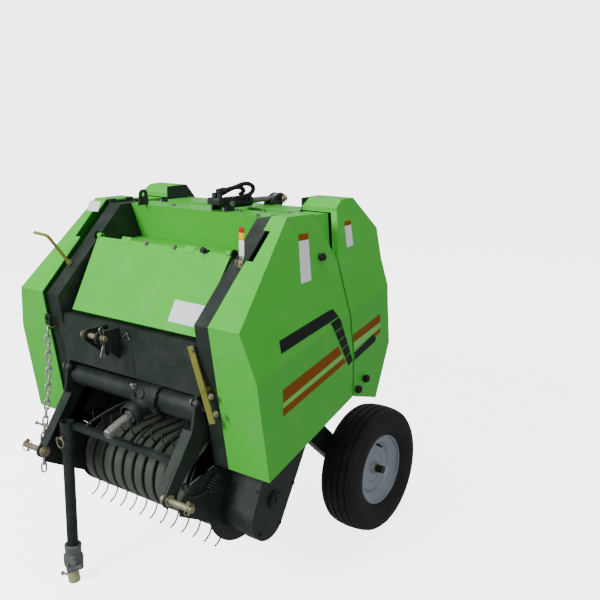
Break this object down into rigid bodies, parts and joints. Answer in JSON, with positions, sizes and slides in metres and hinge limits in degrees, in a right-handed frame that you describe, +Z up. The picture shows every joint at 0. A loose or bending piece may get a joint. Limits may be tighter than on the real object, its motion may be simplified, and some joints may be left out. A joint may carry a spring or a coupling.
{
  "type": "mini round baler",
  "caption": "Small fixed-chamber round baler for a compact tractor, with pickup reel, side guards, twine box, lifting tailgate, two wheels and a parking stand.",
  "frame": {"origin": "middle of the machine's plan on the ground it stands on", "axes": "+X to the right for someone at the tractor looking at the machine, -Y towards the tractor, +Z up"},
  "size_m": [1.244, 1.1743, 1.4016],
  "materials": {
    "green_paint": "gloss",
    "grey_paint": "satin",
    "tyre_rubber": "matte",
    "rim_paint": "satin",
    "knob_rubber": "matte",
    "zinc_plate": "satin",
    "bare_steel": "satin"
  },
  "bodies": {
    "chassis": {"side_plate_left": "grey_paint", "side_plate_right": "grey_paint", "front_beam": "grey_paint", "drive_tubes": "grey_paint", "gearbox": "grey_paint", "input_shaft": "bare_steel", "hitch_arm_left": "grey_paint", "hitch_arm_right": "grey_paint", "hitch_pins": "zinc_plate", "top_link_ears": "grey_paint", "hitch_crossbar": "grey_paint", "stand_sleeve": "grey_paint", "axle_beam": "grey_paint", "axle_arms": "grey_paint", "rollers_front": "bare_steel", "twine_box": "green_paint", "pickup_end_left": "grey_paint", "pickup_end_right": "grey_paint", "stripper_bands": "grey_paint", "pickup_drive_cover": "grey_paint", "wind_guard": "bare_steel", "check_chain": "bare_steel", "bale_indicator": "bare_steel", "twine_handle": "zinc_plate", "density_bar": "zinc_plate", "lift_eye": "grey_paint", "cylinder_ears": "grey_paint", "hinge_covers": "green_paint", "chain_stays": "zinc_plate"},
    "wheel_left": {"tyre_left": "tyre_rubber", "rim_left": "rim_paint"},
    "wheel_right": {"tyre_right": "tyre_rubber", "rim_right": "rim_paint"},
    "reel": {"pickup_reel": "bare_steel"},
    "cover": {"front_cover": "green_paint"},
    "guard_left": {"guard_left": "green_paint", "guard_knob_left": "knob_rubber"},
    "guard_right": {"guard_right": "green_paint", "guard_knob_right": "knob_rubber"},
    "stand": {"stand_leg": "grey_paint", "stand_foot": "bare_steel"},
    "tailgate": {"tailgate_side_left": "grey_paint", "tailgate_side_right": "grey_paint", "tailgate_hinges": "grey_paint", "tailgate_skin": "green_paint", "tailgate_guard_left": "green_paint", "tailgate_guard_right": "green_paint", "tailgate_lever": "grey_paint", "rollers_rear": "bare_steel", "tailgate_knobs": "knob_rubber"},
    "barrel": {"cylinder_barrel": "grey_paint"},
    "rod": {"cylinder_rod": "bare_steel"}
  },
  "joints": [
    {"name": "wheel_left_spin", "type": "hinge", "parent": "chassis", "child": "wheel_left", "pos_m": [-0.516, 0.3345, 0.25], "axis": [1, 0, 0], "continuous": true},
    {"name": "wheel_right_spin", "type": "hinge", "parent": "chassis", "child": "wheel_right", "pos_m": [0.516, 0.3345, 0.25], "axis": [1, 0, 0], "continuous": true},
    {"name": "reel_spin", "type": "hinge", "parent": "chassis", "child": "reel", "pos_m": [0, -0.24973, 0.39866], "axis": [1, 0, 0], "continuous": true},
    {"name": "cover_lift", "type": "hinge", "parent": "chassis", "child": "cover", "pos_m": [0, -0.14859, 1.25486], "axis": [-1, 0, 0], "range_deg": [0, 95]},
    {"name": "guard_left_lift", "type": "hinge", "parent": "chassis", "child": "guard_left", "pos_m": [-0.418, 0.04207, 1.34986], "axis": [0, 0.9907, -0.1357], "range_deg": [0, 70]},
    {"name": "guard_right_lift", "type": "hinge", "parent": "chassis", "child": "guard_right", "pos_m": [0.418, 0.04207, 1.34986], "axis": [0, -0.9907, 0.1357], "range_deg": [0, 70]},
    {"name": "stand_slide", "type": "slide", "parent": "chassis", "child": "stand", "axis": [0, 0.1357, 0.9907], "range_m": [0, 0.25]},
    {"name": "tailgate_lift", "type": "hinge", "parent": "chassis", "child": "tailgate", "pos_m": [0, 0.16408, 1.28268], "axis": [1, 0, 0], "range_deg": [0, 60]},
    {"name": "barrel_swing", "type": "hinge", "parent": "chassis", "child": "barrel", "pos_m": [0.1, 0.08896, 1.3606], "axis": [1, 0, 0], "range_deg": [-1, 49]},
    {"name": "rod_slide", "type": "slide", "parent": "barrel", "child": "rod", "axis": [0, 0.988, -0.1542], "range_m": [-0.0942, 0.002]}
  ],
  "couplings": [
    {"joint": "barrel_swing", "follows": "tailgate_lift", "ratio": 0.79868},
    {"joint": "rod_slide", "follows": "tailgate_lift", "m_per_rad": -0.088021}
  ]
}
